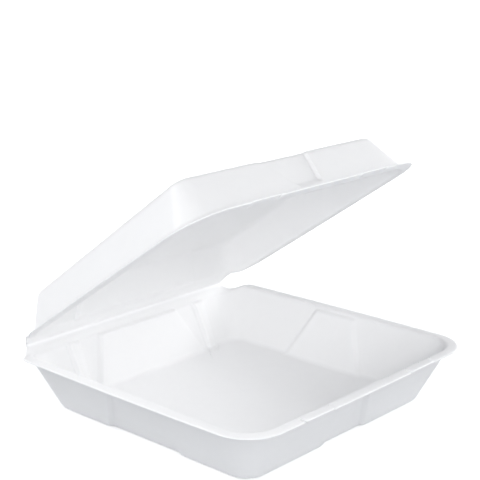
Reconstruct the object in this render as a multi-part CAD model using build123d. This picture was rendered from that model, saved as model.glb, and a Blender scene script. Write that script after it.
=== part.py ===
from build123d import *
import math
import os

# Foam hinged lid container: a square take-out tray and a matching lid, thermoformed from one sheet
# of white polystyrene foam. Along the back the sheet is pressed thin, and the lid folds up about that line.
# Millimetres. X runs along the fold, -Y is the front, +Z is up.
# The origin lies in the face that the tray stands on, midway between the front rim edge and the fold.

# Overall sizes
rim_width = 241.0  # across the rim, at the middle of its sides
rim_depth = 233.5  # from the middle of the tray's front rim edge to the fold
base_height = 42.0  # tray, from the standing face to the top of its rim
lid_height = 33.5  # lid, from its rim to its top at the front
sheet = 2.5  # thickness of the foam

# Rim flange
rim_bow = 1.5  # how far the middle of each rim edge bulges past its ends
base_rim_radius = 28.0  # front corners of the tray's rim
lid_rim_radius = 32.0  # front corners of the lid's rim
base_lip = 6.0  # overhang of the tray's rim past its wall, at the middle of a side
lid_lip = 7.5  # overhang of the lid's rim past its wall, at the middle of a side
base_hinge_lip = 3.0  # from the outside of the tray's hinge wall to the fold
lid_hinge_lip = 4.5  # and from the outside of the lid's hinge wall
lid_setback = 4.0  # the lid's front rim edge stays this far behind the tray's
lip_round = 3.5  # rounding from the rim's top into the wall

# Drafted walls
base_draft = 20.0  # how far the tray's walls lean in over its height
lid_draft = 15.0  # how far the lid's front and sides lean in over its height
lid_hinge_draft = 24.0  # how far the lid's hinge wall leans in
wall_corner_radius = 25.0  # corners of the walls at the rim
lid_hinge_corner_radius = 36.0  # and of the lid's walls beside the fold
base_foot_radius = 14.0  # corners of the tray at its floor
lid_foot_radius = 8.5  # corners of the lid at its top
floor_round = 7.0  # rounding between the floor and the walls

# Stiffening panels: the middle of a wall is stepped inwards, and the uniform draft widens it
# The lid has them at its front and at its hinge wall only, and the one at its hinge wall narrows
panel_step = 4.0  # depth of the step
panel_slant = 2.0  # width of the slanted side of the step
base_front_panel = 1.5  # half width at the rim
base_side_panel = 13.0
lid_front_panel = 7.5
lid_hinge_gap = 30.0  # flat wall between the lid's hinge panel and the corners at its top

# Ribs on the tray's hinge wall, one at each side of its panel
rib_gap = 0.8  # flat wall between the panel's foot and a rib
rib_corner_gap = 5.4  # flat wall between a rib and the corner at the floor
rib_half_width = 5.5
rib_step = 3.0

# Hinge
hinge_drop = 3.4  # how far the rim dips along the inside of the hinge wall, before it rises to the fold
hinge_fade = 10.0  # length of the sides over which the rim sinks to that dip
crease_thickness = 1.2  # foam pressed thin at the fold
fold_gap = 0.3  # room between the tray and the lid at the fold
closing_gap = 0.3  # room between the two rims when closed
corner_cut_x = 18.4  # cut at each end of the fold, along the fold
base_cut_y = 19.0  # and along the side of the tray
lid_cut_y = 35.0  # and along the side of the lid

# Front closure: two tongues cut into each front rim
tongue_place = 56.0  # middle of a tongue from the middle of the front
tongue_half_width = 14.0
slit_width = 1.0
slit_depth = 6.0

# Angles and shares
lid_angle = 34.3  # how far the lid stands open, in degrees
lid_slope = 1.7  # how far the lid's top slopes down towards the hinge, in degrees
panel_spread_share = 1.0  # how much a panel's half width grows with the inset of its wall
lid_hinge_spread_share = -0.5  # and that of the lid's hinge panel
round_shares = (0.0, 1 / 3, 2 / 3, 1.0)  # places of the sections along a rounding
overrun = 5.0  # how far cuts run past what they cut

# Values that follow from the sizes above
corner_half_x = rim_width / 2 - rim_bow
fold_y = rim_depth / 2
fold_face_y = fold_y - fold_gap / 2
closing_z = base_height + closing_gap / 2
base_hinge_gap = rib_gap + 2 * rib_half_width + rib_corner_gap


class Tray:
    """One half of the container, standing on its flat face with its rim up."""

    def __init__(
        self, height, lip, hinge_lip, setback, draft, hinge_draft, slope, rim_radius, hinge_corner,
        foot_radius, cut_y, front_panel, side_panel, hinge_gap, hinge_spread_share, ribs,
    ):
        self.height = height
        self.draft = draft
        self.hinge_draft = hinge_draft
        self.slope = slope
        self.rim_radius = rim_radius
        self.foot_radius = foot_radius
        # Corners at the rim: each one ends a side, from the front one round to the left one
        self.corners = (wall_corner_radius, hinge_corner, hinge_corner, wall_corner_radius)
        self.cut_y = cut_y
        self.ribs = ribs
        self.rim_front = -rim_depth / 2 + setback
        self.half_x = rim_width / 2 - lip
        self.front_y = self.rim_front + lip
        self.back_y = fold_y - hinge_lip
        self.lean = math.atan2(draft, height)
        self.turn = math.pi / 2 - self.lean
        self.wall = sheet / math.cos(self.lean)
        self.foot = draft + floor_round * math.tan(self.turn / 2)
        # The rim is lowest just inside the hinge wall, one wall further in than its inner face
        self.dip_y = self.back_y - 2 * self.wall * hinge_draft / draft
        # The hinge panel keeps the stated gap from the corners at the foot; its spread sets the rest
        foot_panel = self.half_x - self.foot - foot_radius - panel_slant - hinge_gap
        hinge_panel = foot_panel - self.foot * hinge_spread_share
        self.panels = (front_panel, side_panel, hinge_panel, side_panel)
        self.spread_shares = (panel_spread_share, panel_spread_share, hinge_spread_share, panel_spread_share)

    def outline(self, inset):
        """Outline of the wall, moved inwards by inset: four sides with stepped panels and round corners."""
        share = min(max(inset / self.draft, 0), 1)
        radii = [radius + (self.foot_radius - radius) * share for radius in self.corners]
        front = self.front_y + inset
        back = self.back_y - inset * self.hinge_draft / self.draft
        middle = Vector(0, (front + back) / 2)
        half_x = self.half_x - inset
        half_y = (back - front) / 2
        sides = []
        for turn, panel in enumerate(self.panels):
            along = Vector(1, 0).rotate(Axis.Z, 90 * turn)
            outward = Vector(0, -1).rotate(Axis.Z, 90 * turn)
            half_along, half_across = (half_x, half_y) if turn % 2 == 0 else (half_y, half_x)
            stations = []
            if panel is not None:
                edge = panel + inset * self.spread_shares[turn]
                stations += [(edge, panel_step), (edge + panel_slant, 0)]
            if self.ribs and turn == 2:
                near = panel + self.foot + panel_slant + rib_gap
                stations += [
                    (near, 0),
                    (near + panel_slant, rib_step),
                    (near + 2 * rib_half_width - panel_slant, rib_step),
                    (near + 2 * rib_half_width, 0),
                ]
            stations = [(-place, depth) for place, depth in reversed(stations)] + stations
            radius = radii[turn]
            stations = [(radii[turn - 1] - half_along, 0), *stations, (half_along - radius, 0)]
            points = [middle + along * place + outward * (half_across - depth) for place, depth in stations]
            corner = middle + along * (half_along - radius) + outward * (half_across - radius)
            sides.append((points, corner + (along + outward).normalized() * radius))
        edges = []
        for number, (points, corner) in enumerate(sides):
            following = sides[(number + 1) % len(sides)][0][0]
            edges += Polyline(*points).edges()
            edges.append(ThreePointArc(points[-1], corner, following))
        return make_face(edges)

    def section(self, inset, z):
        """The outline at height z: towards the foot it turns about the front until it has the full slope."""
        slope = self.slope * max(1 - z / self.height, 0)
        return Pos(0, self.front_y, z) * Rot(slope, 0, 0) * Pos(0, -self.front_y, 0) * self.outline(inset)

    def section_angles(self):
        """Angles of the sections along a rounding between the floor's or rim's plane and the wall."""
        return [self.turn * share for share in round_shares]

    def outer(self):
        """Solid of the outside: rounded foot and drafted walls up to the rim."""
        sections = [
            (self.foot - floor_round * math.sin(angle), floor_round - floor_round * math.cos(angle))
            for angle in self.section_angles()
        ]
        sections.append((0, self.height))
        return loft([self.section(inset, z) for inset, z in sections], ruled=True)

    def inner(self):
        """Solid of the hollow: one sheet inside the outer form, with a rounded lip, open past the rim."""
        inner_round = floor_round - sheet
        sections = [
            (self.foot - inner_round * math.sin(angle), floor_round - inner_round * math.cos(angle))
            for angle in self.section_angles()
        ]
        lip = self.wall - lip_round * math.tan(self.turn / 2)
        for angle in reversed(self.section_angles()):
            drop = lip_round - lip_round * math.cos(angle)
            sections.append((lip + lip_round * math.sin(angle), self.height - drop))
        sections.append((lip, self.height + overrun))
        return loft([self.section(inset, z) for inset, z in sections], ruled=True)

    def rim_plan(self):
        """Plan of the rim: bulged sides, round front corners and a slanted cut at each end of the fold."""
        front_y = self.rim_front + rim_bow
        tip_y = fold_face_y - self.cut_y
        end_x = corner_half_x - corner_cut_x
        front = ThreePointArc((-corner_half_x, front_y), (0, self.rim_front), (corner_half_x, front_y))
        side_middle = (front_y + tip_y) / 2
        right = ThreePointArc(
            (corner_half_x, front_y), (corner_half_x + rim_bow, side_middle), (corner_half_x, tip_y)
        )
        back = Polyline(
            (corner_half_x, tip_y), (end_x, fold_face_y), (-end_x, fold_face_y), (-corner_half_x, tip_y)
        )
        left = ThreePointArc(
            (-corner_half_x, tip_y), (-corner_half_x - rim_bow, side_middle), (-corner_half_x, front_y)
        )
        plan = make_face([front, right, *back.edges(), left])
        return fillet(plan.vertices().sort_by(Axis.Y)[:2], self.rim_radius)

    def section_block(self, points):
        """A section in Y and Z carried along the whole width."""
        face = make_face(Polyline(*points, close=True).edges())
        return extrude(Plane.YZ * face, rim_width, both=True)

    def rim_top(self):
        """Points of the rim's top from front to fold: level, down to the dip and up to the fold."""
        return [
            (-rim_depth, self.height),
            (self.dip_y - hinge_fade, self.height),
            (self.dip_y, self.height - hinge_drop),
            (fold_face_y, self.height),
        ]

    def solid(self):
        """The finished tray."""
        top = self.rim_top()
        underside = [(fold_face_y, self.height - crease_thickness)]
        underside += [(y, z - sheet) for y, z in reversed(top[:-1])]
        below = [(fold_face_y, -overrun), (-rim_depth, -overrun)]
        rim = extrude(self.rim_plan(), self.height + overrun) & self.section_block(top + underside)
        walls = self.outer() & self.section_block(top + below)
        tray = rim + walls - self.inner()
        slit = Box(slit_width, 2 * slit_depth, 2 * overrun + sheet)
        for side in (-1, 1):
            for end in (-1, 1):
                place = side * (tongue_place + end * tongue_half_width)
                tray -= Pos(place, self.rim_front, self.height) * slit
        return tray


base_tray = Tray(
    height=base_height, lip=base_lip, hinge_lip=base_hinge_lip, setback=0, draft=base_draft,
    hinge_draft=base_draft, slope=0, rim_radius=base_rim_radius, hinge_corner=wall_corner_radius,
    foot_radius=base_foot_radius, cut_y=base_cut_y, front_panel=base_front_panel,
    side_panel=base_side_panel, hinge_gap=base_hinge_gap, hinge_spread_share=panel_spread_share, ribs=True,
).solid()
lid_tray = Tray(
    height=lid_height, lip=lid_lip, hinge_lip=lid_hinge_lip, setback=lid_setback, draft=lid_draft,
    hinge_draft=lid_hinge_draft, slope=lid_slope, rim_radius=lid_rim_radius,
    hinge_corner=lid_hinge_corner_radius, foot_radius=lid_foot_radius, cut_y=lid_cut_y,
    front_panel=lid_front_panel, side_panel=None, hinge_gap=lid_hinge_gap,
    hinge_spread_share=lid_hinge_spread_share, ribs=False,
).solid()
closed_lid = Pos(0, 0, base_height + closing_gap + lid_height) * mirror(lid_tray, about=Plane.XY)

# The lid opens about the fold, which lies in the closing plane
lid = closed_lid.rotate(Axis((0, fold_y, closing_z), (-1, 0, 0)), lid_angle)

os.makedirs("parts", exist_ok=True)
for name, piece in (("base_tray", base_tray), ("lid", lid)):
    export_step(piece, f"parts/{name}.step")
    box = piece.bounding_box()
    print(name, f"{piece.volume / 1000:.2f} cm3", [round(v, 2) for v in (*box.min, *box.max)])
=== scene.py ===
# %% [markdown]
# # Foam hinged lid container
# A take-out box is pressed from one warm sheet of white polystyrene foam. The mould gives it a tray, a
# lid and, between them, a line that is crushed thin so that it folds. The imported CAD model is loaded
# first. It fixes where everything is and how it moves, and the pieces made below are the same shapes
# with the soft edges, the rounded steps and the skin that the real foam has.

# %% Frame
from types import SimpleNamespace

import bpy
import numpy as np
from mathutils import Matrix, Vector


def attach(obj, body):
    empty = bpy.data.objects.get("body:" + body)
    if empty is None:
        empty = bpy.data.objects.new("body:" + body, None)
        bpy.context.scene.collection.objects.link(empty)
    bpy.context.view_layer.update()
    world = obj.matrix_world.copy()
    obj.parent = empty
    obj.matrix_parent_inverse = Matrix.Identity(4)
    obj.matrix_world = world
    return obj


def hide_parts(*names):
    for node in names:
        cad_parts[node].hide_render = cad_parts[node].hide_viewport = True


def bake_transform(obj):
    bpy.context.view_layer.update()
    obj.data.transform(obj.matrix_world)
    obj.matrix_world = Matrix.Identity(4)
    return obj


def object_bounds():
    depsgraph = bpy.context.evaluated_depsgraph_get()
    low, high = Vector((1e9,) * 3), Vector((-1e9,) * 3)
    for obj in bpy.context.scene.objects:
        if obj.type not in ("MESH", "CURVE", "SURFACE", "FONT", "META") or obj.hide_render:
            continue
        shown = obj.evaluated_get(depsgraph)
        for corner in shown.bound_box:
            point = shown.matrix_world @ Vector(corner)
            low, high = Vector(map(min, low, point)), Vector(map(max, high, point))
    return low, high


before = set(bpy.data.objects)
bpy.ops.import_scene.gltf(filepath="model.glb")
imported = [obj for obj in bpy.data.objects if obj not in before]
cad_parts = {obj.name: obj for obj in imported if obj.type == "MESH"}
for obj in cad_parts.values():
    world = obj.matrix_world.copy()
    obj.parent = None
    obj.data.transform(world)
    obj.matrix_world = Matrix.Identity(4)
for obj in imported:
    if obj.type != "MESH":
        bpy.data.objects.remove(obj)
cad_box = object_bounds()

# %% [markdown]
# ## Sizes
# All lengths are in millimetres, in the CAD frame: X along the fold, -Y to the front, +Z up, with the
# origin in the face that the tray stands on. The tray and the lid are the same kind of shape with
# different numbers, so one function keeps the numbers of one half and what follows from them.

# %% Sizes
MM = 0.001
RIM_WIDTH, RIM_DEPTH, RIM_BOW = 241.0, 233.5, 1.5
SHEET = 2.5
LIP_ROUND, FLOOR_ROUND, WALL_CORNER = 3.5, 7.0, 25.0
PANEL_SLANT, RIB_SOFT = 2.0, 0.4
RIB_STEP, RIB_PLACE, RIB_HALF_TOP, RIB_HALF_FOOT = 3.0, 65.2, 6.5, 4.6
RIB_ROOM = 17.2
HINGE_DROP, HINGE_FADE, CREASE_THICK = 3.4, 10.0, 1.2
FOLD_GAP, CLOSING_GAP = 0.3, 0.3
CORNER_CUT_X = 18.4
TONGUE_PLACE, TONGUE_HALF, SLIT_WIDTH, SLIT_LAND, SLIT_WALL = 56.0, 14.0, 1.0, 0.5, 0.25
LID_ANGLE = 34.3

FOLD_Y = RIM_DEPTH / 2
FOLD_FACE_Y = FOLD_Y - FOLD_GAP / 2
RIM_END_X = RIM_WIDTH / 2 - RIM_BOW
FOLD_END_X = RIM_END_X - CORNER_CUT_X


def half_sizes(height, lip, hinge_lip, setback, draft, hinge_draft, slope, rim_radius, hinge_corner,
               foot_radius, cut_y, front_panel, side_panel, steps, soft, shelf, hinge_gap, hinge_spread,
               ribs, tongue_lift):
    """The stated sizes of one half and what follows: wall lines, lean, thickness in plan and foot inset."""
    half = SimpleNamespace(**locals())
    half.half_x = RIM_WIDTH / 2 - lip
    half.rim_front = -RIM_DEPTH / 2 + setback
    half.front_y = half.rim_front + lip
    half.back_y = FOLD_Y - hinge_lip
    half.turn = np.pi / 2 - np.arctan2(draft, height)
    half.wall = SHEET / np.sin(half.turn)
    half.foot = draft + FLOOR_ROUND * np.tan(half.turn / 2)
    half.dip_y = half.back_y - 2 * half.wall * hinge_draft / draft
    foot_panel = half.half_x - half.foot - foot_radius - PANEL_SLANT - hinge_gap
    half.panels = (front_panel, side_panel, foot_panel - half.foot * hinge_spread, side_panel)
    half.spreads = (1.0, 1.0, hinge_spread, 1.0)
    return half


TRAY = half_sizes(
    height=42.0, lip=6.0, hinge_lip=3.0, setback=0.0, draft=20.0, hinge_draft=20.0, slope=0.0,
    rim_radius=28.0, hinge_corner=25.0, foot_radius=14.0, cut_y=19.0, front_panel=1.5, side_panel=13.0,
    steps=(2.4, 2.4, 4.0, 2.4), soft=(1.4, 1.4, 0.4, 1.4), shelf=2.2, hinge_gap=RIB_ROOM,
    hinge_spread=1.0, ribs=True, tongue_lift=0.4)
LID = half_sizes(
    height=33.5, lip=7.5, hinge_lip=4.5, setback=4.0, draft=15.0, hinge_draft=24.0, slope=1.7,
    rim_radius=32.0, hinge_corner=36.0, foot_radius=8.5, cut_y=35.0, front_panel=7.5, side_panel=13.0,
    steps=(2.4, 0.0, 4.0, 0.0), soft=(0.2, 0.7, 0.7, 0.7), shelf=5.0, hinge_gap=30.0,
    hinge_spread=-0.5, ribs=False, tongue_lift=-0.4)
print("hinge panels at the rim reach", round(TRAY.panels[2], 1), "and", round(LID.panels[2], 1), "mm")

# %% [markdown]
# ## The outline of the walls
# Seen from above, each half is a rounded square whose sides step inwards in the middle. The steps stiffen
# the thin foam. The mould has draft, so towards the foot the square is smaller and the stepped panels are
# wider, except the lid's hinge panel, which narrows. A box with bevels could not do this, so the outline is a
# function of the inset. Its points sit at fixed shares between moving knots, so the lines of the grid run
# down along the edges of the panels.

# %% Outline
SIDES = [(np.array(a, float), np.array(o, float)) for a, o in
         (((1, 0), (0, -1)), ((0, 1), (1, 0)), ((-1, 0), (0, 1)), ((0, -1), (-1, 0)))]
CORNER_ANGLES = np.linspace(0, np.pi / 2, 24)[1:-1]
LEAST_FLAT = 0.3
FLAT_CUTS, SLANT_CUTS, GAP_CUTS, RIB_CUTS, SLIT_CUTS = 10, 10, 8, 4, 2


def smooth(t):
    """3 t^2 - 2 t^3 between 0 and 1: a ramp with level ends."""
    t = np.clip(t, 0, 1)
    return t * t * (3 - 2 * t)


def spread(knots, counts):
    """Divides each stretch between two knots evenly into its count, and ends with the last knot."""
    parts = [np.linspace(a, b, n, endpoint=False) for a, b, n in zip(knots, knots[1:], counts)]
    return np.append(np.concatenate(parts), knots[-1])


def side_profile(half, side, inset, ends):
    """Places along one side, from corner to corner, and how deep the wall is stepped in at each of them.

    A step is the panel's depth times a smooth ramp across its slanted edge, and a rib is the product of
    two such ramps.
    """
    edge = half.panels[side] + inset * half.spreads[side]
    zone = PANEL_SLANT + 2 * half.soft[side]
    inner = max(edge - half.soft[side], LEAST_FLAT)
    knots, counts = [0, inner, inner + zone], [FLAT_CUTS, SLANT_CUTS]
    if side == 0:
        for slit in (TONGUE_PLACE - TONGUE_HALF, TONGUE_PLACE + TONGUE_HALF):
            inside, outside = SLIT_WIDTH / 2, SLIT_WIDTH / 2 + SLIT_WALL
            knots += [slit - outside, slit - inside, slit + inside, slit + outside]
            counts += [GAP_CUTS, 1, SLIT_CUTS, 1]
    if half.ribs and side == 2:
        rib = RIB_HALF_TOP + (RIB_HALF_FOOT - RIB_HALF_TOP) * np.clip(inset / half.foot, 0, 1)
        near, far = RIB_PLACE - rib, RIB_PLACE + rib
        rib_zone = PANEL_SLANT + 2 * RIB_SOFT
        start, end = near - RIB_SOFT, far + RIB_SOFT
        knots += [start, start + rib_zone, end - rib_zone, end]
        counts += [GAP_CUTS, SLANT_CUTS, RIB_CUTS, SLANT_CUTS]
    left, right = (spread(knots + [last], counts + [FLAT_CUTS]) for last in ends)
    place = np.concatenate([-left[:0:-1], right])
    depth = half.steps[side] * smooth((knots[2] - np.abs(place)) / zone)
    if half.ribs and side == 2:
        past, before = (np.abs(place) - start) / rib_zone, (end - np.abs(place)) / rib_zone
        depth = np.maximum(depth, RIB_STEP * smooth(past) * smooth(before))
    return place, depth


def corner_fan(along, outward):
    """Unit directions that turn from outward to along: cos a times one plus sin a times the other."""
    return np.cos(CORNER_ANGLES)[:, None] * outward + np.sin(CORNER_ANGLES)[:, None] * along


def outline(half, inset, relief=1.0):
    """Plan of the wall moved inwards by inset: four stepped sides and four quarter circles, as one row.

    relief scales the depth of the steps.
    """
    share = np.clip(inset / half.draft, 0, 1)
    corners = np.array([WALL_CORNER, half.hinge_corner, half.hinge_corner, WALL_CORNER])
    corners = corners + (half.foot_radius - corners) * share
    front = half.front_y + inset
    back = half.back_y - inset * half.hinge_draft / half.draft
    reach = (half.half_x - inset, (back - front) / 2)
    middle = np.array([0, (front + back) / 2])
    rows = []
    for side, (along, outward) in enumerate(SIDES):
        radius, across = corners[side], reach[1 - side % 2]
        ends = reach[side % 2] - corners[side - 1], reach[side % 2] - radius
        place, depth = side_profile(half, side, inset, ends)
        rows.append(middle + place[:, None] * along + (across - relief * depth)[:, None] * outward)
        centre = middle + ends[1] * along + (across - radius) * outward
        rows.append(centre + radius * corner_fan(along, outward))
    return np.concatenate(rows)


def outward_rows(half):
    """The outward direction at each point of the outline: the side's own, turning through each corner."""
    rows = []
    for side, (along, outward) in enumerate(SIDES):
        count = len(side_profile(half, side, 0.0, (half.half_x, half.half_x))[0])
        rows.append(np.tile(outward, (count, 1)))
        rows.append(corner_fan(along, outward))
    return np.concatenate(rows)


print("points in the outline of the tray and the lid:", len(outline(TRAY, 0.0)), len(outline(LID, 0.0)))

# %% [markdown]
# ## The edge of the rim
# The flat rim is trimmed by a knife, not by the mould, so its edge does not follow the steps of the walls.
# Its sides bulge a little, its front corners are round, and slanted cuts take off the corners beside the
# hinge. The trim line is drawn as a polyline, and from each point of the wall a ray runs outwards to it.
# Short slits in the front edge make the tongues that hold the box shut.

# %% Rim edge
LEAST_RIM = 1.6
FRONT_POINTS, CORNER_POINTS, SIDE_POINTS = 30, 24, 40


def trim_line(half):
    """The trim line: parabolic front and sides, a circle at each front corner, then the cut and the fold."""
    radius = half.rim_radius
    front_y, tip_y = half.rim_front + RIM_BOW, FOLD_FACE_Y - half.cut_y
    middle, reach = (front_y + tip_y) / 2, (tip_y - front_y) / 2
    bow_x = RIM_END_X + RIM_BOW * (1 - ((front_y + radius - middle) / reach) ** 2)
    centre_x = bow_x - radius
    centre_y = half.rim_front + RIM_BOW * (centre_x / RIM_END_X) ** 2 + radius
    x = np.linspace(0, centre_x, FRONT_POINTS)
    angle = np.linspace(-np.pi / 2, 0, CORNER_POINTS)
    y = np.linspace(centre_y, tip_y, SIDE_POINTS)
    right = np.concatenate([
        np.stack([x, half.rim_front + RIM_BOW * (x / RIM_END_X) ** 2], 1),
        np.stack([centre_x + radius * np.cos(angle), centre_y + radius * np.sin(angle)], 1),
        np.stack([RIM_END_X + RIM_BOW * (1 - ((y - middle) / reach) ** 2), y], 1),
        np.array([[FOLD_END_X, FOLD_FACE_Y], [0, FOLD_FACE_Y]]),
    ])
    return np.concatenate([right, (right * [-1, 1])[::-1]])


def ray_lengths(points, directions, line):
    """Distance from each point along its direction to the polyline: the nearest crossing, or none past it."""
    start, run = line[:-1], np.diff(line, axis=0)
    cross = lambda a, b: a[..., 0] * b[..., 1] - a[..., 1] * b[..., 0]
    gap = start[None] - points[:, None]
    slope = cross(directions[:, None], run[None])
    slope = np.where(np.abs(slope) < 1e-9, np.nan, slope)
    length, share = cross(gap, run[None]) / slope, cross(gap, directions[:, None]) / slope
    hit = (share > -1e-6) & (share < 1 + 1e-6) & (length > 0)
    nearest = np.where(hit, length, np.inf).min(axis=1)
    return np.where(np.isfinite(nearest), nearest, 0)


def rim_edge(half, lip_points):
    """The rim's edge opposite each point of the lip, and which of them are on a tongue."""
    directions = outward_rows(half)
    length = np.maximum(ray_lengths(lip_points, directions, trim_line(half)), LEAST_RIM)
    from_tongue = np.abs(np.abs(lip_points[:, 0]) - TONGUE_PLACE)
    at_front = directions[:, 1] < -0.999
    in_slit = at_front & (np.abs(from_tongue - TONGUE_HALF) < SLIT_WIDTH / 2 + SLIT_WALL / 2)
    length = np.where(in_slit, SLIT_LAND, length)
    return lip_points + length[:, None] * directions, at_front & (from_tongue < TONGUE_HALF)


print("trim line of the tray, mm:", np.round([trim_line(TRAY).min(0), trim_line(TRAY).max(0)], 1).tolist())

# %% [markdown]
# ## The shell of one half
# A cut through the foam is a band of one thickness: floor, rounding, wall, rounded lip, flat rim, cut edge
# and back underneath. That closed profile is carried round the outline, from the middle of the floor inside
# to the middle of the floor outside, which gives one closed surface. The rows across the floor are smaller
# copies of the outline without its steps. At the hinge wall the rim dips and rises again to the fold, and the
# top of the lid slopes a little, so both are added to the heights at the end.

# %% Shell
EDGE_ROUND, EDGE_SHARE, EDGE_THICK, RIM_FALL, UNDER_FILLET = 1.0, 0.4, 1.5, 0.3, 2.0
FOLD_REACH, FOLD_ROUND = 3.0, 0.05
DIP_REACH, DIP_FADE = 7.0, 7.0
FLOOR_SHARES, FOOT_SHARES = (0.1, 0.3, 0.5, 0.7, 0.9), (0.85, 0.6, 0.35, 0.1)
RIM_SHARES, UNDER_SHARES = (0.12, 0.3, 0.5, 0.7, 0.88), (0.85, 0.6, 0.35, 0.15)
INNER_FOOT_ROWS, OUTER_FOOT_ROWS, LIP_ROWS, EDGE_ROWS, FILLET_ROWS = 8, 9, 9, 9, 5
SHELF_SHARE, LOW_ROWS, HIGH_ROWS, SHELF_ROWS, WALL_ROWS = 0.7, 9, 17, 8, 11


def fold_rise(half, y):
    """Share of the rise from the dip to the fold: q^2 (2 - q), level at the dip and steady at the fold."""
    q = np.clip((y - half.dip_y) / (FOLD_FACE_Y - half.dip_y), 0, 1)
    return q * q * (2 - q)


def hinge_dip(half, y):
    """Depth of the rim below the closing plane: a smooth ramp down to the dip, then the rise to the fold."""
    return HINGE_DROP * smooth((y - half.dip_y + HINGE_FADE) / HINGE_FADE) * (1 - fold_rise(half, y))


def shell(half):
    """Rows of points (x, y, z) of one half, standing on its foot with the rim up, and the cut edge's mask.

    Roundings are circles (inset - r sin a, z - r cos a), walls are straight lines between them, and the rim
    runs straight from the lip to the trim line.
    """
    top, turn = half.height, half.turn
    rows, heights, cut = [], [], []

    def add(points, z, cut_share=0.0):
        rows.append(points)
        heights.append(np.broadcast_to(np.asarray(z, float), len(points)))
        cut.append(np.broadcast_to(cut_share, len(points)))

    inner_round = FLOOR_ROUND - SHEET
    lip = half.wall - LIP_ROUND * np.tan(turn / 2)
    floor = outline(half, half.foot, 0.0)
    middle = floor.mean(0) * [0, 1]
    for share in FLOOR_SHARES:
        add(middle + share * (floor - middle), SHEET)
    for angle in np.linspace(0, turn, INNER_FOOT_ROWS):
        add(outline(half, half.foot - inner_round * np.sin(angle)), FLOOR_ROUND - inner_round * np.cos(angle))
    low = np.array([half.foot - inner_round * np.sin(turn), FLOOR_ROUND - inner_round * np.cos(turn)])
    high = np.array([lip + LIP_ROUND * np.sin(turn), top - LIP_ROUND + LIP_ROUND * np.cos(turn)])
    below = np.linspace(0, SHELF_SHARE, LOW_ROWS)[1:]
    above = np.linspace(SHELF_SHARE, 1, HIGH_ROWS)[1:-1]
    for share in np.concatenate([below, above]):
        inset, z = low + share * (high - low)
        add(outline(half, inset, smooth((high[1] - z) / half.shelf)), z)
    for angle in np.linspace(turn, 0, LIP_ROWS):
        add(outline(half, lip + LIP_ROUND * np.sin(angle), 0.0), top - LIP_ROUND + LIP_ROUND * np.cos(angle))
    lip_points = rows[-1]
    edge, tongue = rim_edge(half, lip_points)
    at_fold = smooth((edge[:, 1] - FOLD_FACE_Y + FOLD_REACH) / FOLD_REACH)
    rounding = np.minimum(EDGE_ROUND, EDGE_SHARE * np.linalg.norm(edge - lip_points, axis=1))
    rounding = rounding + (FOLD_ROUND - rounding) * at_fold
    inner_edge = edge - rounding[:, None] * outward_rows(half)
    fall = RIM_FALL * (1 - at_fold)
    thick = EDGE_THICK + (CREASE_THICK - EDGE_THICK) * at_fold
    lift = half.tongue_lift * tongue
    for share in RIM_SHARES:
        add(lip_points + share * (inner_edge - lip_points), top - fall * share ** 2 + lift * share ** 2)
    for angle in np.linspace(np.pi / 2, -np.pi / 2, EDGE_ROWS):
        points = inner_edge + np.cos(angle) * (edge - inner_edge)
        add(points, top - fall - thick / 2 * (1 - np.sin(angle)) + lift, 1 - at_fold)
    under = half.draft * SHEET / top
    under_points = outline(half, under - UNDER_FILLET, 0.0)
    for share in UNDER_SHARES:
        add(under_points + share * (inner_edge - under_points),
            top - SHEET + share * (SHEET - thick - fall) + lift * share ** 2)
    wall_z = top - SHEET - UNDER_FILLET
    shelf_z, foot_top = wall_z - half.shelf, FLOOR_ROUND - FLOOR_ROUND * np.cos(turn)
    insets = np.array([under - UNDER_FILLET, under, half.draft * (1 - wall_z / top)])
    for share in np.linspace(0, 1, FILLET_ROWS):
        blend = np.array([(1 - share) ** 2, 2 * share * (1 - share), share ** 2])
        add(outline(half, blend @ insets, 0.0), blend @ np.array([top - SHEET, top - SHEET, wall_z]))
    above = np.linspace(wall_z, shelf_z, SHELF_ROWS)[1:]
    below = np.linspace(shelf_z, foot_top, WALL_ROWS)[1:-1]
    for z in np.concatenate([above, below]):
        add(outline(half, half.draft * (1 - z / top), smooth((wall_z - z) / half.shelf)), z)
    for angle in np.linspace(turn, 0, OUTER_FOOT_ROWS):
        add(outline(half, half.foot - FLOOR_ROUND * np.sin(angle)), FLOOR_ROUND - FLOOR_ROUND * np.cos(angle))
    for share in FOOT_SHARES:
        add(middle + share * (floor - middle), 0)
    plan, z = np.stack(rows), np.stack(heights)
    z = z - hinge_dip(half, plan[..., 1]) * smooth((z - top + DIP_REACH) / DIP_FADE)
    z = z + np.tan(np.radians(half.slope)) * (plan[..., 1] - half.front_y) * np.clip(1 - z / top, 0, 1)
    return np.concatenate([plan, z[..., None]], axis=2), np.stack(cut)


tray_rows, tray_cut = shell(TRAY)
lid_rows, lid_cut = shell(LID)
print("rows and points of the tray's grid:", tray_rows.shape[:2], "and of the lid's:", lid_rows.shape[:2])

# %% [markdown]
# ## From rows to meshes
# Neighbouring rows are joined by four-cornered faces and the last point of a row joins the first. The first
# and last rows are flat loops, closed by faces from one side to the other. The lid is worked out standing on
# its top, so it is mirrored, set on the tray and then turned open about the fold, as the CAD model does it.

# %% Meshes
CLOSING_Z = TRAY.height + CLOSING_GAP / 2


def lid_place(points):
    """Mirrors points in the closing plane, and turns them about the fold so that the front rises."""
    angle = np.radians(LID_ANGLE)
    y, z = points[..., 1] - FOLD_Y, CLOSING_Z - points[..., 2]
    return np.stack([points[..., 0], FOLD_Y + np.cos(angle) * y + np.sin(angle) * z,
                     CLOSING_Z - np.sin(angle) * y + np.cos(angle) * z], axis=-1)


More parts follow.
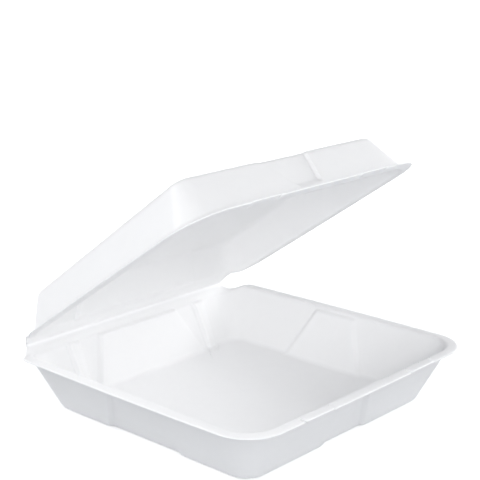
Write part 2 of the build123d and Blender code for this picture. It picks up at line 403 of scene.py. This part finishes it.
def closed_mesh(name, rows, cut, mirrored=False):
    """A mesh from rows of points: quads between rows, closed round each row, and ladders of quads that join
    the two halves of the first row and of the last row.
    """
    count = rows.shape[1]
    index = np.arange(rows.size // 3).reshape(-1, count)
    nearby = np.roll(index, -1, axis=1)
    quads = np.stack([index[:-1], index[1:], nearby[1:], nearby[:-1]], axis=-1).reshape(-1, 4)
    step = np.arange(count // 2 - 1)
    ladder = np.stack([step, step + 1, count - 2 - step, count - 1 - step], axis=-1)
    faces = np.concatenate([quads, ladder, index[-1][ladder[:, ::-1]]])
    mesh = bpy.data.meshes.new(name)
    faces = faces[:, ::-1] if mirrored else faces
    mesh.from_pydata((rows.reshape(-1, 3) * MM).tolist(), [], faces.tolist())
    cut_edge = mesh.attributes.new("cut_edge", "FLOAT", "POINT")
    cut_edge.data.foreach_set("value", cut.ravel().astype(np.float32))
    mesh.polygons.foreach_set("use_smooth", np.ones(len(mesh.polygons), bool))
    piece = bpy.data.objects.new(name, mesh)
    bpy.context.scene.collection.objects.link(piece)
    print(name, len(mesh.vertices), "points,", len(mesh.polygons), "faces")
    return piece


def lid_rest(rows):
    """The lid's own rows, which stand on its top, in their place on the open box."""
    return lid_place(rows - [0, 0, LID.height - TRAY.height])


foam_tray = closed_mesh("foam_tray", tray_rows, tray_cut)
foam_lid = closed_mesh("foam_lid", lid_rest(lid_rows), lid_cut, mirrored=True)
for piece, body, node in ((foam_tray, "base_tray", "base_tray"), (foam_lid, "lid", "lid")):
    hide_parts(node)
    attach(piece, body)

# %% [markdown]
# ## The fold
# Between tray and lid the foam is crushed to about a millimetre, and that line bends when the lid moves.
# The two rims end just short of it, and a thin skin joins them: it starts inside one rim, turns round the
# fold and ends inside the other, with a shallow valley on the side of the food. It is built in the shape
# of the open box and is not attached to the tray or the lid.

# %% Fold
SKIN_OUTER, SKIN_TUCK = 1.25, 1.6
VALLEY_REACH, VALLEY_TUCK, VALLEY_LIFT = 2.6, 0.9, 0.08
CREASE_POINTS, CREASE_STATIONS = 14, 80


def land_point(half, back, lift):
    """A point (y, z) over the rim's top, so far back from the fold and lifted so far."""
    y = FOLD_Y - back
    return np.array([y, half.height - hinge_dip(half, y) + lift])


def crease_rows(stations):
    """Rows of the skin along the fold. Its outer face is a circle about the fold with a straight run into
    each rim. Its inner face is a parabola between the tops of the two rims, sunk into them at both ends.
    """
    def lid_yz(back, lift):
        return lid_rest(np.array([0, *land_point(LID, back, lift)]))[1:]

    turn = np.radians(180 - LID_ANGLE)
    bend = np.linspace(0, turn, CREASE_POINTS)
    arc = np.array([FOLD_Y, CLOSING_Z]) + SKIN_OUTER * np.stack([np.sin(bend), -np.cos(bend)], axis=1)
    lid_way = np.array([-np.cos(np.pi - turn), np.sin(np.pi - turn)])
    outer = np.concatenate([[arc[0] - [SKIN_TUCK, 0]], arc, [arc[-1] + SKIN_TUCK * lid_way]])
    sunk_back, sunk_lift = VALLEY_REACH + VALLEY_TUCK, -VALLEY_TUCK / 2
    ends = [land_point(TRAY, VALLEY_REACH, VALLEY_LIFT), lid_yz(VALLEY_REACH, VALLEY_LIFT)]
    sunk = [land_point(TRAY, sunk_back, sunk_lift), lid_yz(sunk_back, sunk_lift)]
    t = np.linspace(0, 1, CREASE_POINTS)[:, None]
    valley = (1 - t) ** 2 * ends[0] + 2 * t * (1 - t) * np.array([FOLD_Y, CLOSING_Z]) + t ** 2 * ends[1]
    inner = np.concatenate([[sunk[0]], valley, [sunk[1]]])
    loop = np.concatenate([inner, outer[::-1]])
    rows = np.zeros((len(stations), len(loop), 3))
    rows[..., 0] = np.asarray(stations)[:, None]
    rows[..., 1:] = loop
    return rows


skin = crease_rows(np.linspace(-FOLD_END_X, FOLD_END_X, CREASE_STATIONS))
fold_crease = closed_mesh("fold_crease", skin, np.zeros(skin.shape[:2]))
start = np.array([0, FOLD_FACE_Y, TRAY.height - CREASE_THICK / 2])
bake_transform(fold_crease)

# %% [markdown]
# ## Polystyrene foam
# The sheet is extruded polystyrene foam with a closed skin, thermoformed in a polished mould. To the eye it
# is a cool white with a soft satin sheen. The cells under the skin, a few tenths of a millimetre wide, dimple
# it, the heated sheet is a little uneven in tone over some millimetres, and the knife-cut edge of the rim
# shows the open cells and is rougher. The cells are drawn coarser than they are, because at their true size
# they would be finer than the render's pixels. A little light enters the foam and spreads under the skin.
# The crushed fold has no cells left, so there it doesn't.

# %% Foam material
def linear(code):
    """An sRGB hex colour as linear red, green, blue and alpha."""
    value = np.array([int(code[i:i + 2], 16) for i in (1, 3, 5)]) / 255
    value = np.where(value <= 0.04045, value / 12.92, ((value + 0.055) / 1.055) ** 2.4)
    return (*value.tolist(), 1.0)


def add_node(tree, kind, settings=(), values=(), links=()):
    """Adds a node, sets its properties and input values, and links earlier outputs to its inputs."""
    node = tree.nodes.new(kind)
    for name, value in dict(settings).items():
        setattr(node, name, value)
    for name, value in dict(values).items():
        node.inputs[name].default_value = value
    for name, output in dict(links).items():
        tree.links.new(output, node.inputs[name])
    return node


CELL_MM, MOTTLE_MM, WAVE_MM = 1.1, 9.0, 45.0
PER_METRE = 1000.0
CELL_DEPTH_M, WAVE_DEPTH_M, GLOW_DEPTH_M = 0.0002, 0.0008, 0.0008
FOAM_SHADE, FOAM_LIGHT = "#FAFAFB", "#FDFDFD"
SKIN_ROUGH, OPEN_ROUGH = {"To Min": 0.42, "To Max": 0.52}, 0.25
SKIN_RELIEF, OPEN_RELIEF, WAVE_RELIEF = 0.12, 0.5, 0.25


def foam_material(name, glow_share):
    """Satin white foam: two noises for tone, cells and slow waves for relief, rougher open cells where cut.

    glow_share is the share of the light that enters the foam and spreads in it.
    """
    material = bpy.data.materials.new(name)
    material.use_nodes = True
    tree = material.node_tree
    tree.nodes.clear()
    place = add_node(tree, "ShaderNodeTexCoord").outputs["Object"]
    cells = add_node(tree, "ShaderNodeTexVoronoi", {"feature": "SMOOTH_F1"},
                     {"Scale": PER_METRE / CELL_MM, "Smoothness": 0.6}, {"Vector": place})
    mottle = add_node(tree, "ShaderNodeTexNoise", {}, {"Scale": PER_METRE / MOTTLE_MM, "Detail": 3.0},
                      {"Vector": place})
    wave = add_node(tree, "ShaderNodeTexNoise", {}, {"Scale": PER_METRE / WAVE_MM, "Detail": 1.0},
                    {"Vector": place})
    cut = add_node(tree, "ShaderNodeAttribute", {"attribute_name": "cut_edge"})
    tone = add_node(tree, "ShaderNodeMix", {"data_type": "RGBA"},
                    {"A": linear(FOAM_SHADE), "B": linear(FOAM_LIGHT)}, {"Factor": mottle.outputs["Fac"]})
    rough = add_node(tree, "ShaderNodeMapRange", {}, SKIN_ROUGH, {"Value": mottle.outputs["Fac"]})
    rough_cut = add_node(tree, "ShaderNodeMath", {"operation": "MULTIPLY_ADD"}, {1: OPEN_ROUGH},
                         {0: cut.outputs["Fac"], 2: rough.outputs["Result"]})
    depth = add_node(tree, "ShaderNodeMath", {"operation": "MULTIPLY_ADD"}, {1: OPEN_RELIEF, 2: SKIN_RELIEF},
                     {0: cut.outputs["Fac"]})
    skin = add_node(tree, "ShaderNodeBump", {}, {"Distance": CELL_DEPTH_M},
                    {"Height": cells.outputs["Distance"], "Strength": depth.outputs["Value"]})
    relief = add_node(tree, "ShaderNodeBump", {}, {"Strength": WAVE_RELIEF, "Distance": WAVE_DEPTH_M},
                      {"Height": wave.outputs["Fac"], "Normal": skin.outputs["Normal"]})
    shader = add_node(tree, "ShaderNodeBsdfPrincipled", {},
                      {"IOR": 1.5, "Specular IOR Level": 0.35, "Subsurface Weight": glow_share,
                       "Subsurface Radius": (1.0, 1.0, 1.0), "Subsurface Scale": GLOW_DEPTH_M},
                      {"Base Color": tone.outputs["Result"], "Roughness": rough_cut.outputs["Value"],
                       "Normal": relief.outputs["Normal"]})
    add_node(tree, "ShaderNodeOutputMaterial", {}, {}, {"Surface": shader.outputs["BSDF"]})
    return material


foam = foam_material("thermoformed_polystyrene_foam", 1.0)
crushed_foam = foam_material("crushed_polystyrene_foam_fold", 0.0)
for piece, material in ((foam_tray, foam), (foam_lid, foam), (fold_crease, crushed_foam)):
    piece.data.materials.append(material)
    print(piece.name, "is of", material.name)

# %% [markdown]
# ## Floor and light
# White foam on white shows its form only by small differences of light. Soft square lamps stand round the
# box: at the left behind it, low at the left and above the camera, one weak lamp in front, and two at the
# right, the low one being the strongest. The even light of a white studio fills the rest. The floor is pale
# and keeps the shadow. A glow that only the camera and reflections see brightens it to white further out,
# so it puts no light on the foam's own surface.

# %% Stage and lamps
FLOOR_HALF_M, FLOOR_DROP_M = 6.0, 0.0001
PAPER, STUDIO_WHITE, STUDIO_LEVEL = "#C6C8CB", "#F7F9FF", 0.33
GLOW_BY_DISTANCE = {"From Min": 0.12, "From Max": 0.45, "To Min": 0.62, "To Max": 1.0}
LAMP_SIZE_M, LAMP_TARGET_M = 1.0, np.array([0, 0, 0.05])
LAMPS = (
    ("back_left_softbox", (-0.9, 1.22, 0.88), 12.9),
    ("left_front_softbox", (-1.3, -1.2, 0.35), 10.2),
    ("camera_side_softbox", (-0.95, -1.1, 1.1), 8.8),
    ("front_softbox", (0.3, -1.75, 0.3), 2.0),
    ("right_front_softbox", (1.15, -1.15, 0.9), 6.3),
    ("right_softbox", (1.75, -0.2, 0.4), 21.0),
)


def larger(tree, first, second):
    """The larger of two outputs."""
    node = add_node(tree, "ShaderNodeMath", {"operation": "MAXIMUM"}, {}, {0: first, 1: second})
    return node.outputs["Value"]


def floor_piece():
    """A flat square of paper under the tray, which the camera sees as white further out."""
    corners = np.array([[-1, -1, 0], [1, -1, 0], [1, 1, 0], [-1, 1, 0]]) * FLOOR_HALF_M - [0, 0, FLOOR_DROP_M]
    mesh = bpy.data.meshes.new("studio_floor")
    mesh.from_pydata(corners.tolist(), [], [[0, 1, 2, 3]])
    piece = bpy.data.objects.new("studio_floor", mesh)
    bpy.context.scene.collection.objects.link(piece)
    material = bpy.data.materials.new("matt_white_paper_sweep")
    material.use_nodes = True
    tree = material.node_tree
    tree.nodes.clear()
    ray = add_node(tree, "ShaderNodeLightPath")
    seen = larger(tree, ray.outputs["Is Camera Ray"], ray.outputs["Is Glossy Ray"])
    seen = larger(tree, seen, ray.outputs["Is Transmission Ray"])
    place = add_node(tree, "ShaderNodeTexCoord").outputs["Object"]
    away = add_node(tree, "ShaderNodeVectorMath", {"operation": "LENGTH"}, {}, {0: place})
    level = add_node(tree, "ShaderNodeMapRange", {"interpolation_type": "SMOOTHSTEP"},
                     GLOW_BY_DISTANCE, {"Value": away.outputs["Value"]})
    glow = add_node(tree, "ShaderNodeMath", {"operation": "MULTIPLY"}, {},
                    {0: seen, 1: level.outputs["Result"]})
    paper = add_node(tree, "ShaderNodeBsdfDiffuse", {}, {"Color": linear(PAPER)})
    white = add_node(tree, "ShaderNodeEmission", {}, {}, {"Strength": glow.outputs["Value"]})
    both = add_node(tree, "ShaderNodeAddShader", {}, {},
                    {0: paper.outputs["BSDF"], 1: white.outputs["Emission"]})
    add_node(tree, "ShaderNodeOutputMaterial", {}, {}, {"Surface": both.outputs["Shader"]})
    mesh.materials.append(material)
    return piece


def studio_world(strength):
    """Even white light of the given strength, seen by the camera as white."""
    world = bpy.data.worlds.new("white_studio")
    world.use_nodes = True
    tree = world.node_tree
    tree.nodes.clear()
    ray = add_node(tree, "ShaderNodeLightPath")
    seen = larger(tree, ray.outputs["Is Camera Ray"], ray.outputs["Is Transmission Ray"])
    level = add_node(tree, "ShaderNodeMapRange", {}, {"To Min": strength, "To Max": 1.0}, {"Value": seen})
    light = add_node(tree, "ShaderNodeBackground", {}, {"Color": linear(STUDIO_WHITE)},
                     {"Strength": level.outputs["Result"]})
    add_node(tree, "ShaderNodeOutputWorld", {}, {}, {"Surface": light.outputs["Background"]})
    bpy.context.scene.world = world


def aimed(place, target):
    """A matrix at place whose -Z axis points at the target and whose Y axis is as upright as it can be."""
    back = np.array(place, float) - target
    back /= np.linalg.norm(back)
    side = np.cross([0, 0, 1], back)
    side /= np.linalg.norm(side)
    turn = np.eye(4)
    turn[:3, :3] = np.stack([side, np.cross(back, side), back], axis=1)
    turn[:3, 3] = place
    return Matrix(turn.tolist())


def soft_lamp(name, place, watts):
    """A square soft lamp that points at the middle of the box."""
    lamp = bpy.data.lights.new(name, "AREA")
    lamp.shape, lamp.size, lamp.energy = "SQUARE", LAMP_SIZE_M, watts
    holder = bpy.data.objects.new(name, lamp)
    bpy.context.scene.collection.objects.link(holder)
    holder.matrix_world = aimed(place, LAMP_TARGET_M)
    print(name, "at", place, "of", watts, "W")


floor_piece()
studio_world(STUDIO_LEVEL)
for lamp in LAMPS:
    soft_lamp(*lamp)

# %% [markdown]
# ## Camera
# The camera was fitted to the photograph: its place, its direction and its lens together put the rims, the
# walls and the panels of the model on the lines of the picture. The picture is square, 480 pixels wide.

# %% Camera
AZIMUTH, ELEVATION = np.radians(-47.756), np.radians(15.170)
DISTANCE_MM, FOCAL_PX, FRAME_PX, SENSOR_MM = 878.04, 1233.73, 480.0, 36.0
AIM_MM, AIM_PX = np.array([0, 0.75, 42.0]), np.array([241.33, 347.29])


def photo_camera():
    """Stands so that the aim point, at its distance along the axis, falls on its pixel of the picture."""
    level = np.cos(ELEVATION)
    back = np.array([np.sin(AZIMUTH) * level, -np.cos(AZIMUTH) * level, np.sin(ELEVATION)])
    right = np.array([np.cos(AZIMUTH), np.sin(AZIMUTH), 0])
    up = np.cross(back, right)
    shift = (AIM_PX - FRAME_PX / 2) / FOCAL_PX
    turn = np.eye(4)
    turn[:3, :3] = np.stack([right, up, back], axis=1)
    turn[:3, 3] = (AIM_MM + DISTANCE_MM * (back - shift[0] * right + shift[1] * up)) * MM
    lens = bpy.data.cameras.new("photo_camera")
    lens.sensor_width, lens.lens = SENSOR_MM, FOCAL_PX * SENSOR_MM / FRAME_PX
    holder = bpy.data.objects.new("photo_camera", lens)
    bpy.context.scene.collection.objects.link(holder)
    holder.matrix_world = Matrix(turn.tolist())
    bpy.context.scene.camera = holder
    print("camera at", np.round(turn[:3, 3], 3).tolist(), "m, lens", round(lens.lens, 1), "mm")


photo_camera()
bpy.context.scene.view_settings.view_transform = "Standard"
